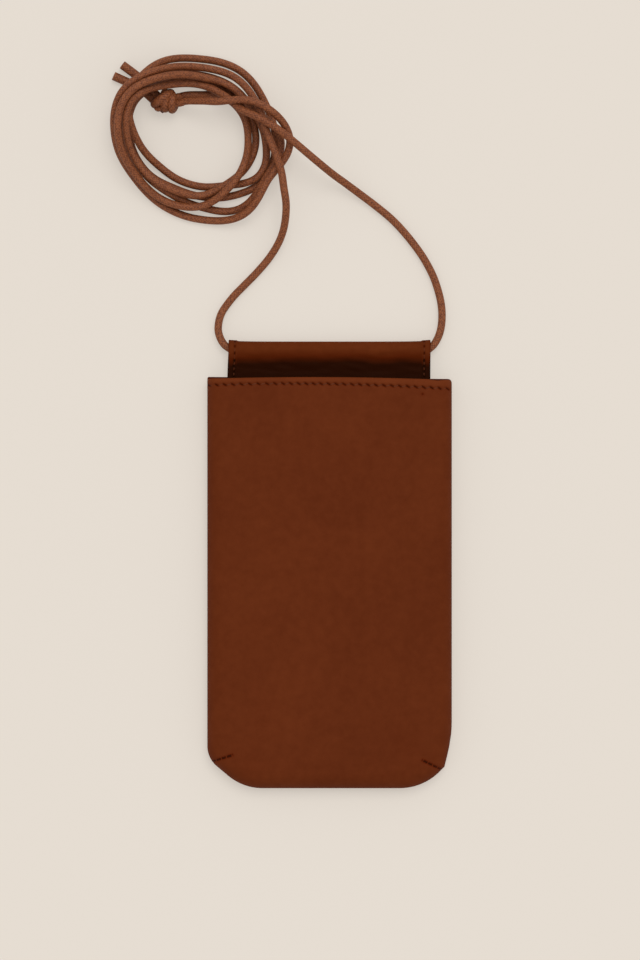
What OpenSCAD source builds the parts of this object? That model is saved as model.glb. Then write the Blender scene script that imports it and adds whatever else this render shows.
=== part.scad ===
// A flat leather phone pouch on a long round cord, lying on its back.
// X runs to the right, Y from the bottom of the pouch to its mouth, and Z up
// from the surface that it lies on. The cord lies on the same surface, wound
// into a loose coil past the mouth.

/* [Pouch] */
// Width of the pouch
pouch_w = 110; // [100:1:130]
// Length of the pouch from its bottom to the corners of its mouth
pouch_l = 184; // [165:1:200]
// Thickness of the pouch in its middle, a phone's room and both panels
pouch_depth = 13; // [12:0.5:16]
// How much thinner the pouch is at its mouth
mouth_drop = 1; // [0:0.25:1.5]
// How far the lip stands up in the middle of the mouth
lip_bow = 1; // [0:0.25:3]

/* [Leather] */
// Thickness of the two panels
leather_t = 1.2; // [1:0.1:1.5]
// Width of the leather turned inside along the seam
seam_allow = 5; // [3:0.5:6]
// Width over which the front rolls down to the seam
side_roll = 9; // [6:0.5:12]
// Width of the hem turned in along the mouth
hem_w = 8; // [6:0.5:12]

/* [Bottom corners] */
// How far a corner reaches along the bottom
corner_reach = 25; // [15:1:32]
// How far a corner rises up the side
corner_rise = 17; // [10:1:30]
// Length of the dart sewn into each front corner
dart_l = 10; // [6:0.5:16]
// How deep a dart draws the front in
dart_depth = 0.8; // [0.3:0.1:1.2]

/* [Hanger tab] */
// Width of the folded strip that holds the cord
tab_w = 90.7; // [70:0.1:94]
// How far the strip stands out of the mouth
tab_rise = 16.7; // [12:0.1:24]
// Thickness of the strip's leather
tab_t = 1.1; // [0.9:0.1:1.3]
// How deep the strip is sewn in below the mouth
tab_foot = 8; // [6:0.5:12]
// Free room around the cord in the fold
tunnel_clear = 0.5; // [0.3:0.05:0.8]
// Room between the strip and the back panel
tab_gap = 0.3; // [0.2:0.05:0.5]

/* [Thread] */
// Thickness of the sewing thread
thread_d = 0.6; // [0.4:0.05:0.8]
// Length of a stitch along the hem and the seam
stitch_l = 2.4; // [1.8:0.1:3]
// Distance from stitch to stitch along the hem and the seam
stitch_pitch = 3.57; // [3.2:0.01:5]
// Distance of the hem's stitches from the lip
hem_line = 3.6; // [2:0.1:5]
// Length of a stitch along the strip's edges
edge_stitch_l = 1.9; // [1.4:0.1:2.2]
// Distance from stitch to stitch along the strip's edges
edge_pitch = 3; // [2.6:0.1:4]
// Distance of those stitches from the strip's edge
edge_line = 3; // [2:0.1:4]

/* [Cord] */
// Thickness of the cord
cord_d = 3.4; // [3:0.1:3.6]
// Room kept between one turn of the coil and the next
turn_gap = 0.75; // [0.75:0.05:1]
// How steeply a turn may climb over another, as a share of its run
climb_share = 0.5; // [0.5:0.05:1]

/* [Hidden] */

leather = "saddlebrown";
thread = "maroon";
waxed_cord = "sienna";

// Places along Y: the whole length is centred on the origin
bottom_y = -(pouch_l + tab_rise) / 2;
mouth_y = bottom_y + pouch_l;
hem_y = mouth_y - hem_w;
tab_top_y = mouth_y + tab_rise;
corner_y = bottom_y + corner_rise;
corner_x = pouch_w / 2 - corner_reach;
// The turned edges of both panels meet at this height
seam_z = 2 * leather_t;
edge_soft = leather_t / 3;
overrun = 2 * leather_t;

// A corner between a straight cut, at 1, and an ellipse, at 2
corner_fullness = 1.67;
// The roll of the front down to the seam, squarer than a circle, at 2
roll_fullness = 2.3;
// How much of its height the front gains from its edges to its middle
crown_share = 0.08;

// A dart starts on the outline at this height and runs inwards and up
dart_y = corner_y - corner_rise / 4;
dart_turn = 20;
dart_w = 2 * leather_t;

// The strip: a round tunnel at its top and two leaves below it
tunnel_r = cord_d / 2 + tunnel_clear;
tunnel_outer = tunnel_r + tab_t;
tunnel_y = tab_top_y - tunnel_outer;
leaf_low = leather_t + tab_gap;
leaf_high = leaf_low + 2 * tab_t;
tunnel_z = max(tunnel_outer + tab_gap / 2, (leaf_low + leaf_high) / 2);
foot_y = mouth_y - tab_foot;

// Half the width of the outline at a height, drawn in by a distance
function half_w(y, inset) = y >= corner_y ? pouch_w / 2 - inset
    : corner_x + (corner_reach - inset) * pow(max(0, 1 -
      pow(min(1, (corner_y - y) / (corner_rise - inset)), corner_fullness)),
      1 / corner_fullness);

// Height of the outline's bottom edge under a place
function low_y(x, inset) = abs(x) <= corner_x ? bottom_y + inset
    : corner_y - (corner_rise - inset) * pow(max(0, 1 -
      pow(min(1, (abs(x) - corner_x) / (corner_reach - inset)),
      corner_fullness)), 1 / corner_fullness);

// Distance from a place to the outline
function edge_away(x, y, inset) =
    let (dx = max(0, half_w(y, inset) - abs(x)), dy = max(0, y - low_y(x, inset)))
    dx * dy <= 0 ? 0 : dx * dy / norm([dx, dy]);

// How far a dart draws the front down: a soft groove along its line
function dart_dip(x, y) = let (
    from = [half_w(dart_y, 0), dart_y],
    way = [-cos(dart_turn), sin(dart_turn)],
    to = [abs(x), y] - from,
    along = max(0, min(dart_l, to * way)),
    away = min(1, norm(to - along * way) / dart_w))
    dart_depth * pow(1 - away * away, 2);

// Height of the front's surface: it rolls up from the seam and then crowns
function front_z(x, y, inset) = let (
    lift = pouch_depth - seam_z - inset,
    away = min(1, edge_away(x, y, inset) / (side_roll - inset)),
    along = (y - bottom_y) / pouch_l,
    crown = crown_share * (1 - pow(2 * x / pouch_w, 2)) * 4 * along * (1 - along),
    drop = mouth_drop * pow(max(0, along), 3) + dart_dip(x, y))
    seam_z + (lift * (1 - crown_share + crown) - drop * away)
    * pow(1 - pow(1 - away, roll_fullness), 1 / roll_fullness);

// The lip of the mouth, a shallow bow
function lip_y(x) = mouth_y + lip_bow * (1 - pow(2 * x / pouch_w, 2));

// The outline of a panel: one corner, its mirror image and a straight mouth
corner_steps = 8;
function corner_rim(a, inset) = [
    corner_x + (corner_reach - inset) * pow(cos(a), 2 / corner_fullness),
    corner_y - (corner_rise - inset) * pow(sin(a), 2 / corner_fullness)];
function outline(inset, top) = let (
    corner = [for (i = [0 : corner_steps]) corner_rim(90 * i / corner_steps, inset)])
    concat([[pouch_w / 2 - inset, top]], corner,
           [for (i = [corner_steps : -1 : 0]) [-corner[i][0], corner[i][1]]],
           [[inset - pouch_w / 2, top]]);

// Rows of the front's shell from the bottom to the mouth. Its columns stand
// closer together towards the sides.
low_rows = 12;
high_rows = 9;
hem_rows = 3;
side_columns = 16;
function row_ys() = concat(
    [for (i = [0 : low_rows]) bottom_y + corner_rise * (1 - cos(90 * i / low_rows))],
    [for (i = [1 : high_rows]) corner_y + (hem_y - corner_y) * i / high_rows],
    [for (i = [0 : hem_rows]) hem_y + edge_soft + (hem_w - edge_soft) * i / hem_rows]);

// The inner surface lies one layer in, and two along the hem
function row_inset(i, inner) = inner ? (i > low_rows + high_rows ? 2 : 1) * leather_t : 0;

function shell_row(i, y, inner) = let (
    inset = row_inset(i, inner),
    at = bottom_y + inset + (y - bottom_y) / pouch_l * (pouch_l - inset),
    hem = max(0, (y - hem_y) / hem_w))
    [for (j = [-side_columns : side_columns])
        let (x = half_w(at, inset) * sin(90 * j / side_columns))
        [x, at + (lip_y(x) - mouth_y) * hem, front_z(x, at, inset)]];

module front_shell() {
    ys = row_ys();
    n = len(ys);
    c = 2 * side_columns + 1;
    points = [for (inner = [false, true]) for (i = [0 : n - 1])
              each shell_row(i, ys[i], inner)];
    function at(layer, i, j) = layer * n * c + i * c + j;
    faces = concat(
        [for (i = [0 : n - 2]) for (j = [0 : c - 2]) each [
            [at(0, i, j), at(0, i + 1, j), at(0, i + 1, j + 1)],
            [at(0, i, j), at(0, i + 1, j + 1), at(0, i, j + 1)],
            [at(1, i, j), at(1, i + 1, j + 1), at(1, i + 1, j)],
            [at(1, i, j), at(1, i, j + 1), at(1, i + 1, j + 1)]]],
        [for (i = [0 : n - 2]) each [
            [at(0, i, 0), at(1, i, 0), at(1, i + 1, 0)],
            [at(0, i, 0), at(1, i + 1, 0), at(0, i + 1, 0)],
            [at(0, i, c - 1), at(1, i + 1, c - 1), at(1, i, c - 1)],
            [at(0, i, c - 1), at(0, i + 1, c - 1), at(1, i + 1, c - 1)]]],
        [for (j = [0 : c - 2]) each [
            [at(0, 0, j), at(0, 0, j + 1), at(1, 0, j + 1)],
            [at(0, 0, j), at(1, 0, j + 1), at(1, 0, j)],
            [at(0, n - 1, j), at(1, n - 1, j + 1), at(0, n - 1, j + 1)],
            [at(0, n - 1, j), at(1, n - 1, j), at(1, n - 1, j + 1)]]]);
    polyhedron(points, faces);
}

// The front: a shell that is open at the seam and the mouth, with its edge
// turned inwards on top of the back's edge
module front_panel() color(leather) union() {
    front_shell();
    translate([0, 0, seam_z]) linear_extrude(leather_t) difference() {
        polygon(outline(leather_t / 2, mouth_y - leather_t));
        polygon(outline(leather_t + seam_allow, mouth_y));
    }
}

// The strip is sewn to the back along this line, in a groove half a thread deep
tab_seam_y = foot_y + tab_t;

// The back: a flat panel whose edge is folded inwards along the seam
module back_panel() color(leather) difference() {
    union() {
        linear_extrude(seam_z) polygon(outline(edge_soft, mouth_y));
        translate([0, 0, edge_soft]) linear_extrude(seam_z - 2 * edge_soft)
            polygon(outline(0, mouth_y));
    }
    translate([0, 0, leather_t]) linear_extrude(overrun)
        polygon(outline(leather_t + seam_allow, mouth_y + overrun));
    translate([-tab_w / 2, tab_seam_y - thread_d, -overrun])
        cube([tab_w, 2 * thread_d, overrun + thread_d / 2]);
}

// The strip: folded over the cord, with both leaves sewn into the mouth
module hanger_tab() color(leather)
    translate([-tab_w / 2, 0, 0]) rotate([90, 0, 90]) linear_extrude(tab_w)
    difference() {
        union() {
            translate([tunnel_y, tunnel_z]) circle(tunnel_outer, $fn = 48);
            polygon([[foot_y, leaf_low], [mouth_y + tab_t, leaf_low],
                     [tunnel_y, tunnel_z - tunnel_outer], [tunnel_y, tunnel_z],
                     [tunnel_y - tunnel_outer * cos(30), tunnel_z + tunnel_outer * sin(30)],
                     [tunnel_y - tunnel_outer - tab_t, leaf_high],
                     [foot_y, leaf_high]]);
        }
        translate([tunnel_y, tunnel_z]) circle(tunnel_r, $fn = 48);
    }

// One stitch: a short piece of thread from one place to another
module stitch(from, to) {
    way = to - from;
    translate(from)
        rotate([0, acos(way[2] / norm(way)), atan2(way[1], way[0])])
        cylinder(d = thread_d, h = norm(way), $fn = 6);
}

// A stitch that lies on the front, given by its middle and its direction
module front_stitch(x, y, turn, length) {
    ends = [for (s = [-1, 1])
        let (px = x + s * length / 2 * cos(turn), py = y + s * length / 2 * sin(turn))
        [px, py, front_z(px, py, 0)]];
    stitch(ends[0], ends[1]);
}

// The hem's row follows the lip from one side to the other
hem_slant = -28;
hem_count = floor((pouch_w - stitch_l) / stitch_pitch);
module hem_stitches() color(thread)
    for (i = [0 : hem_count - 1]) {
        x = (i - (hem_count - 1) / 2) * stitch_pitch;
        front_stitch(x, lip_y(x) - hem_line, hem_slant, stitch_l);
    }

// The hidden seam runs through both turned edges: up the sides, round the
// corners and along the bottom
seam_line = leather_t + seam_allow / 3;
seam_top = seam_z + leather_t;
side_count = floor((hem_y - corner_y) / stitch_pitch);
bottom_count = floor(2 * corner_x / stitch_pitch);
corner_count = 7;
corner_stitch_share = 0.7;
module side_seam_stitches() color(thread) {
    for (side = [-1, 1]) {
        for (i = [0 : side_count - 1]) {
            x = side * (pouch_w / 2 - seam_line);
            y = corner_y + i * stitch_pitch + stitch_pitch / 2;
            stitch([x, y - stitch_l / 2, seam_top], [x, y + stitch_l / 2, seam_top]);
        }
        for (i = [0 : corner_count - 1]) {
            ends = [for (s = [1 - corner_stitch_share, corner_stitch_share])
                let (p = corner_rim(10 + 70 * (i + s) / corner_count, seam_line))
                [side * p[0], p[1], seam_top]];
            stitch(ends[0], ends[1]);
        }
    }
    for (i = [0 : bottom_count - 1]) {
        x = (i - (bottom_count - 1) / 2) * stitch_pitch;
        y = bottom_y + seam_line;
        stitch([x - stitch_l / 2, y, seam_top], [x + stitch_l / 2, y, seam_top]);
    }
}

// The row that holds the strip lies in the back's groove
tab_seam_count = floor((tab_w - stitch_l) / stitch_pitch);
module tab_seam_stitches() color(thread)
    for (i = [0 : tab_seam_count - 1]) {
        x = (i - (tab_seam_count - 1) / 2) * stitch_pitch;
        stitch([x - stitch_l / 2, tab_seam_y, thread_d / 2],
               [x + stitch_l / 2, tab_seam_y, thread_d / 2]);
    }

// The stitches of a dart cross its groove, from the outline inwards
dart_count = 4;
dart_stitch_share = 0.7;
module dart_stitches(side) color(thread)
    for (i = [0 : dart_count - 1]) {
        step = dart_l / dart_count;
        along = (i + 1) * step - step / 2;
        front_stitch(side * (half_w(dart_y, 0) - along * cos(dart_turn)),
                     dart_y + along * sin(dart_turn),
                     -side * dart_turn, step * dart_stitch_share);
    }

// Rows along the strip's edges, over the front leaf and then round the tunnel
leaf_count = floor((tunnel_y - tunnel_outer - mouth_y) / edge_pitch) + 1;
module tab_edge_stitches(side) color(thread) {
    x = side * (tab_w / 2 - edge_line);
    half_turn = edge_stitch_l / tunnel_outer * 90 / PI;
    for (i = [0 : leaf_count - 1]) {
        y = mouth_y - edge_pitch / 4 + i * edge_pitch;
        stitch([x, y - edge_stitch_l / 2, leaf_high], [x, y + edge_stitch_l / 2, leaf_high]);
    }
    for (a = [130, 80]) {
        ends = [for (b = [a + half_turn, a - half_turn])
            [x, tunnel_y + tunnel_outer * cos(b), tunnel_z + tunnel_outer * sin(b)]];
        stitch(ends[0], ends[1]);
    }
}

// A tube along points, with flat ends square to its line
function ahead(p, i) = let (n = len(p) - 1, d = p[min(n, i + 1)] - p[max(0, i - 1)]) d / norm(d);
function ring(p, i, r, sides) = let (
    t = ahead(p, i), flat = cross(t, [0, 0, 1]), s = flat / norm(flat), u = cross(s, t))
    [for (k = [0 : sides - 1]) let (a = (2 * k + 1) * 180 / sides)
        p[i] + r * (cos(a) * s + sin(a) * u)];
module tube(p, r, sides) {
    n = len(p);
    points = concat([for (i = [0 : n - 1]) each ring(p, i, r, sides)], [p[0], p[n - 1]]);
    function at(i, k) = i * sides + k % sides;
    polyhedron(points, concat(
        [for (i = [0 : n - 2]) for (k = [0 : sides - 1]) each [
            [at(i, k), at(i, k + 1), at(i + 1, k + 1)],
            [at(i, k), at(i + 1, k + 1), at(i + 1, k)]]],
        [for (k = [0 : sides - 1]) [n * sides, at(0, k + 1), at(0, k)]],
        [for (k = [0 : sides - 1]) [n * sides + 1, at(n - 1, k), at(n - 1, k + 1)]]));
}

// A smooth line through chosen points
function blend4(a, b, c, d, f) = (2 * b + (c - a) * f
    + (2 * a - 5 * b + 4 * c - d) * f * f + (3 * b - a - 3 * c + d) * f * f * f) / 2;
function smooth(p, steps) = let (n = len(p) - 1) concat(
    [for (i = [0 : n - 1]) for (s = [0 : steps - 1])
        blend4(p[max(0, i - 1)], p[i], p[i + 1], p[min(n, i + 2)], s / steps)], [p[n]]);

// The two strands of the coil. Each pair gives the reach from the middle of
// the coil and the order of lying, where a higher one lies over a lower one,
// every 30 degrees clockwise from 120 degrees, where the knot is.
coil_at = [-58, 190.5];
first_turn = 120;
turn_step = 30;
left_strand = [
    [22.5, 6], [20.9, 6], [22.8, 8], [33, 8], [39.7, 6], [36.3, 7],
    [38.5, 4], [36.3, 1], [33.8, 1], [34.4, 1], [38.6, 1], [40.9, 4.5],
    [36, 5.2], [33.2, 5.8], [31.6, 6.8], [30.9, 7.2], [29.8, 7.5], [43.6, 8]];
right_strand = [
    [19, 2], [16.9, 2], [19.2, 2], [22.2, 3], [21.4, 4], [22.5, 5],
    [25.1, 7], [29.6, 6], [30.9, 6], [32.8, 6], [36.4, 6], [36.7, 6],
    [32, 6], [29, 6], [27, 6], [28.9, 6.2], [34.7, 5.5], [33.9, 5.5],
    [35.2, 2], [30.2, 2], [27.8, 2], [29.8, 2], [34.2, 2], [35, 2],
    [33.6, 2], [30, 2.4], [29, 2.6], [28.2, 2.8], [29.2, 3], [30.7, 3],
    [23.1, 2], [20.5, 2], [20.1, 2], [22, 3], [28.3, 3.5], [35, 4],
    [39.3, 4], [36.9, 3], [36.4, 3], [34.9, 3], [34.5, 3], [33.5, 3],
    [28.5, 1.5], [25, 1.5], [24.3, 1.5], [26, 1.5], [30.3, 1.5], [31, 1.5],
    [30, 1.5], [26.1, 1.5], [24.8, 1.5], [24.8, 1.8], [25.2, 2.2], [23.7, 3.2],
    [22.9, 5], [24.8, 5], [25.5, 5], [28.7, 5], [32.4, 5], [32.7, 5],
    [27.9, 5], [24.9, 4], [22.5, 4.5], [24.2, 8.5], [40.6, 9], [78, 9]];
// Where each strand starts and ends, counted in rows of its table
left_span = [0, 17];
right_span = [0, 64.25];
// Places worked out between two rows: every second one carries a ring
places = 4;
layer = cord_d + turn_gap;
// Heights at which the strands leave the coil
left_end_z = 3.5 * layer;
right_end_z = 3 * layer;

// The cord's two ends hang out of the knot, under the coil
floor_z = cord_d / 2;
tail_one = [[-75, 210.3, floor_z], [-76.9, 213.4, floor_z], [-79.6, 216.6, floor_z],
    [-83, 219.6, floor_z], [-87.5, 222.3, floor_z], [-92.7, 224.7, floor_z]];
tail_two = [[-75.8, 205, floor_z], [-79, 208, floor_z], [-82.2, 211.6, floor_z],
    [-85.4, 215, floor_z], [-89.8, 217.4, floor_z], [-96.5, 218.7, floor_z]];

// The free stretches from the strip's ends to the coil, and the end of the
// strip's tunnel that they were drawn to
drawn_end = [45.35, 97.05, 3.45];
left_lead = [[-45.75, 97.05, 3.45], [-46.6, 97.3, 3.45], [-48.6, 99.2, 3.3], [-50, 103.6, 3],
    [-49.8, 108.5, 2.6], [-48.2, 112.5, 2.2], [-45.4, 116.5, 1.9], [-42, 121, 1.7],
    [-37.9, 125.5, 1.7], [-33, 131, 1.7], [-28, 137.5, 2.4], [-24, 144, 4.8],
    [-21.2, 150, 8], [-19.9, 156, 11.4]];
right_lead = [[45.75, 97.05, 3.45], [46.6, 97.3, 3.45], [48.7, 99.2, 3.3], [50.3, 104, 3],
    [50.6, 110, 2.5], [50.5, 116, 2], [49.2, 122, 1.7], [46.6, 129.5, 1.7],
    [43.5, 137, 1.7], [39.5, 143.5, 1.7], [34.2, 150.3, 1.7], [28.5, 156, 1.7],
    [21, 162, 1.9], [14, 167, 2.9], [7, 171.5, 6], [1.5, 175.5, 9.4]];

function reach_at(t, k) = let (n = len(t) - 1, i = min(n - 1, floor(k)))
    blend4(t[max(0, i - 1)], t[i], t[i + 1], t[min(n, i + 2)], k - i)[0];
function order_at(t, k) = let (i = min(len(t) - 2, floor(k)))
    t[i][1] + (t[i + 1][1] - t[i][1]) * (k - i);
function strand_at(t, k) = let (a = first_turn - turn_step * k, r = reach_at(t, k))
    [coil_at[0] + r * cos(a), coil_at[1] + r * sin(a), order_at(t, k)];
function place_count(span) = round((span[1] - span[0]) * places) + 1;
function strand(t, span) = [for (q = [0 : place_count(span) - 1])
    strand_at(t, span[0] + q / places)];

// How far a place in plan is from a straight stretch, and where along it
function beside(p, a, b) = let (
    u = [a[0], a[1]], v = [b[0] - a[0], b[1] - a[1]], w = [p[0], p[1]] - u,
    t = max(0, min(1, (w * v) / (v * v))))
    [norm(w - t * v), t];

// A turn rests on what lies under it: for one place, the stretches under it
// and how high above each its own middle has to be. A strand doesn't rest on
// the stretches right beside the place.
own_places = 6;
search_shares = 4;
function rests(all, i, split) = [for (j = [0 : len(all) - 2])
    if (j != split && ((i <= split) != (j <= split) || abs(j - i) >= own_places)
        && abs(all[j][0] - all[i][0]) < search_shares * layer
        && abs(all[j][1] - all[i][1]) < search_shares * layer)
    let (b = beside(all[i], all[j], all[j + 1]))
    if (b[0] < layer && all[j][2] + (all[j + 1][2] - all[j][2]) * b[1] < all[i][2])
    [j, b[1], sqrt(layer * layer - b[0] * b[0])]];
function over_tails(p) = max([for (t = [tail_one, tail_two]) for (i = [0 : len(t) - 2])
    let (b = beside(p, t[i], t[i + 1]))
    b[0] < layer ? floor_z + sqrt(layer * layer - b[0] * b[0]) : floor_z]);

// The turns settle: each place is lifted onto what is under it, and comes down
// from its neighbours no more steeply than the cord may climb
settle_rounds = 40;
function settle(h, low, under, runs, n) = n == 0 ? h : settle(
    [for (i = [0 : len(h) - 1]) max(concat([low[i],
        i > 0 ? h[i - 1] - climb_share * runs[i - 1] : 0,
        i < len(h) - 1 ? h[i + 1] - climb_share * runs[i] : 0],
        [for (u = under[i]) h[u[0]] * (1 - u[1]) + h[u[0] + 1] * u[1] + u[2]]))],
    low, under, runs, n - 1);

// Both strands with their heights. The run between them is endless, so that
// neither pulls on the other.
endless = 1e6;
function coil() = let (
    left = strand(left_strand, left_span),
    all = concat(left, strand(right_strand, right_span)),
    split = len(left) - 1, last = len(all) - 1,
    own = [for (i = [0 : last]) rests(all, i, split)],
    base = [for (p = all) over_tails(p)],
    low = [for (i = [0 : last]) max(base[max(0, i - 1)], base[i], base[min(last, i + 1)],
        i == split ? left_end_z : i == last ? right_end_z : floor_z)],
    under = [for (i = [0 : last]) concat(own[i], i > 0 && i != split + 1 ? own[i - 1] : [],
        i < last && i != split ? own[i + 1] : [])],
    runs = [for (i = [0 : last - 1]) i == split ? endless
        : norm([all[i + 1][0] - all[i][0], all[i + 1][1] - all[i][1]])],
    h = settle(low, low, under, runs, settle_rounds))
    [for (i = [0 : last]) [all[i][0], all[i][1], h[i]]];

// A strand's end in plan, the way that it leaves, and its rings, with a short
// straight run at the end
function end_at(t, span, z) = let (e = strand_at(t, span[1])) [e[0], e[1], z];
function end_way(t, span) = let (
    d = strand_at(t, span[1]) - strand_at(t, span[1] - 1 / places),
    flat = [d[0], d[1], 0])
    flat / norm(flat);
function rings_of(c, first, t, span) = let (n = place_count(span))
    concat([c[first]], [for (q = [n % 2 == 0 ? 1 : 2 : 2 : n - 1]) c[first + q]],
           [c[first + n - 1] + cord_d * end_way(t, span)]);

// The least room between turns, measured on the rings and halfway between them
near_rings = 3;
function halves(p) = [for (i = [0 : len(p) - 2]) each [p[i], (p[i] + p[i + 1]) / 2]];
function to_line(p, a, b) = let (v = b - a, t = max(0, min(1, ((p - a) * v) / (v * v))))
    norm(p - a - t * v);
function least(p, q, same) = min([for (i = [0 : len(p) - 1]) for (j = [0 : len(q) - 2])
    if (!same || abs(floor(i / 2) - j) > near_rings) to_line(p[i], q[j], q[j + 1])]) - cord_d;

module cord_coil(side) {
    c = coil();
    left = rings_of(c, 0, left_strand, left_span);
    right = rings_of(c, place_count(left_span), right_strand, right_span);
    echo(least_gap = min(least(halves(left), left, true), least(halves(right), right, true),
                         least(halves(left), right, false)),
         top = max([for (p = c) p[2]]) + cord_d / 2);
    echo(left_end = left[len(left) - 1], right_end = right[len(right) - 1]);
    color(waxed_cord) tube(side < 0 ? left : right, cord_d / 2, 6);
}

// A lead starts at the strip's end, wherever that is, and meets its strand
// face to face
function lead(points, side, t, span, z) = let (
    n = len(points) - 1, end = end_at(t, span, z), way = end_way(t, span),
    shift = [side * (tab_w / 2 - drawn_end[0]), tunnel_y - drawn_end[1], tunnel_z - drawn_end[2]],
    route = [for (i = [0 : n]) let (p = points[i] + shift * (1 - i / n))
        [p[0], p[1], max(floor_z, p[2])]])
    concat(smooth(concat(route, [end + 2 * cord_d * way]), 2), [end + cord_d * way]);
module cord_lead_left() color(waxed_cord)
    tube(lead(left_lead, -1, left_strand, left_span, left_end_z), cord_d / 2, 8);
module cord_lead_right() color(waxed_cord)
    tube(lead(right_lead, 1, right_strand, right_span, right_end_z), cord_d / 2, 8);

module cord_in_tab() color(waxed_cord)
    translate([-tab_w / 2, tunnel_y, tunnel_z]) rotate([0, 90, 0])
        cylinder(d = cord_d, h = tab_w, $fn = 32);

// The knot: the two ends wrapped together round the cord. Each wrap has its
// place beside the knot's middle and its lean.
knot_at = [-72.5, 208];
wrap_r = cord_d - cord_d / 17;
wrap_d = cord_d + turn_gap;
knot_z = wrap_r + wrap_d / 2;
wrap_shares = [[0.56, -0.26, 0], [-0.56, 0.26, 0], [0, 0, 0.03]];
wrap_leans = [[0, 78, -28], [0, 78, -28], [0, 58, 30]];
module cord_knot() color(waxed_cord) translate([knot_at[0], knot_at[1], knot_z]) {
    for (i = [0 : len(wrap_shares) - 1])
        translate(cord_d * wrap_shares[i]) rotate(wrap_leans[i])
            rotate_extrude($fn = 32) translate([wrap_r, 0]) circle(d = wrap_d, $fn = 16);
    sphere(r = wrap_r + cord_d / 3, $fn = 32);
}

module cord_tails() color(waxed_cord) {
    tube(tail_one, cord_d / 2, 8);
    tube(tail_two, cord_d / 2, 8);
}

front_panel();
back_panel();
hanger_tab();
hem_stitches();
side_seam_stitches();
tab_seam_stitches();
dart_stitches(-1);  // dart_stitches_left
dart_stitches(1);  // dart_stitches_right
tab_edge_stitches(-1);  // tab_edge_stitches_left
tab_edge_stitches(1);  // tab_edge_stitches_right
cord_in_tab();
cord_lead_left();
cord_lead_right();
cord_coil(-1);  // cord_coil_left
cord_coil(1);  // cord_coil_right
cord_knot();
cord_tails();
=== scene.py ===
import math

import bmesh
import bpy
from mathutils import Matrix, Vector, noise


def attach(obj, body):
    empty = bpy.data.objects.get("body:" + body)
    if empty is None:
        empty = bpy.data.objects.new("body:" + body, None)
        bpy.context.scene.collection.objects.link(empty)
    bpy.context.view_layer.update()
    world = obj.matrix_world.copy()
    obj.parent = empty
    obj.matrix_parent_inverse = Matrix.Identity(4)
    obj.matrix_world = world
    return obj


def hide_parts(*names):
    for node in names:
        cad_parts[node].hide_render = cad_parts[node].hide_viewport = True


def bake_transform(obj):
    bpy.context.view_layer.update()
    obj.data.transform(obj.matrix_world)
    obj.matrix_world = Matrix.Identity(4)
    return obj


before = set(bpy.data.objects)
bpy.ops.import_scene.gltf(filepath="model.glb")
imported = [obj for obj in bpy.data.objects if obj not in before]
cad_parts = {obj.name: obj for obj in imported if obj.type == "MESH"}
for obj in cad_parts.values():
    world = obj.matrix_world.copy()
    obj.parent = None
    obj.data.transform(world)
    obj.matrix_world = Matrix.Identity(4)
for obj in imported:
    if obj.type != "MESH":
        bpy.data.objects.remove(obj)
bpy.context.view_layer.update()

MM = 0.001


# The camera looks straight down on the pouch, which lies flat with its cord.
# The photograph takes in 431 mm from top to bottom, and its middle is 38 mm
# above the middle of the pouch and its tab.
PHOTO_MIDDLE = Vector((-4.3, 37.9, 8)) * MM
PHOTO_TALL = 431 * MM
CAMERA_UP = 2200 * MM
camera = bpy.data.objects.new("camera", bpy.data.cameras.new("camera"))
bpy.context.scene.collection.objects.link(camera)
camera.data.sensor_width = 36
camera.data.lens = camera.data.sensor_width * CAMERA_UP / PHOTO_TALL
camera.location = PHOTO_MIDDLE + Vector((0, 0, CAMERA_UP))
bpy.context.scene.camera = camera
bpy.context.scene.view_settings.view_transform = "Standard"


# The cord: one round cord of braided and waxed cotton, 3.4 mm thick. It runs
# through the tab. Past the mouth its left end goes one and a half times round a
# loose coil, and its right end five and a half times, up to the knot.
CORD = 3.4
CORD_SIDES = 16
RING_STEP = 1.1
# The braid's 8 strands go once round the cord in 11 mm
BRAID_STRANDS = 8
BRAID_TURN = 11.0

# Both strands from the knot on, with a row every 30 degrees clockwise: the reach
# from the middle of the coil, and which turn lies over which. A higher number
# lies over a lower one.
COIL_AT = Vector((-58, 190.5))
FIRST_TURN = 120
TURN_STEP = 30
LEFT_STRAND = [
    (19.3, 6), (17.4, 6), (19.6, 8), (31.2, 8), (40.2, 6), (35.3, 7),
    (38.5, 4), (35.3, 1), (33.7, 1), (34, 1), (38.1, 1), (40.9, 4.5),
    (36, 5.2), (32.7, 5.8), (32.1, 6.8), (30, 7.2), (31.2, 7.5), (43.3, 8), (62, 8)]
RIGHT_STRAND = [
    (22.3, 2), (20.8, 2), (22.2, 2), (22.2, 3), (21.4, 4), (22.5, 5),
    (25.1, 7), (29.6, 6), (31.5, 6), (32.8, 6), (36.4, 6), (37.9, 6),
    (32.2, 6), (28.3, 6), (27.6, 6), (27.4, 6.2), (36.1, 5.5), (33.9, 5.5),
    (35.2, 2), (29.7, 2), (27.5, 2), (29.4, 2), (34.2, 2), (36.4, 2),
    (33.6, 2), (29.5, 2.4), (28, 2.6), (27.2, 2.8), (29.2, 3), (30.7, 3),
    (23.1, 2), (20.5, 2), (20.1, 2), (22, 3), (28.3, 3.5), (36.4, 4),
    (39.3, 4), (36.9, 3), (36.2, 3), (33.6, 3), (33.7, 3), (33.5, 3),
    (28.5, 1.5), (25, 1.5), (24.4, 1.5), (28, 1.5), (31.7, 1.5), (34.5, 1.5),
    (30, 1.5), (26.1, 1.5), (24.8, 1.5), (24.8, 1.8), (24.8, 2.2), (23.7, 3.2),
    (22.9, 5), (24.8, 5), (25.5, 5), (28.6, 5), (32.6, 5), (34.9, 5),
    (28.4, 5), (24.9, 4), (22.5, 4.5), (24.2, 8.5), (40.6, 9), (74, 9)]
# The row where each strand leaves the coil, and the places worked out per row
LEFT_LAST = 17
RIGHT_LAST = 64.25
PLACES = 4
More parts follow.
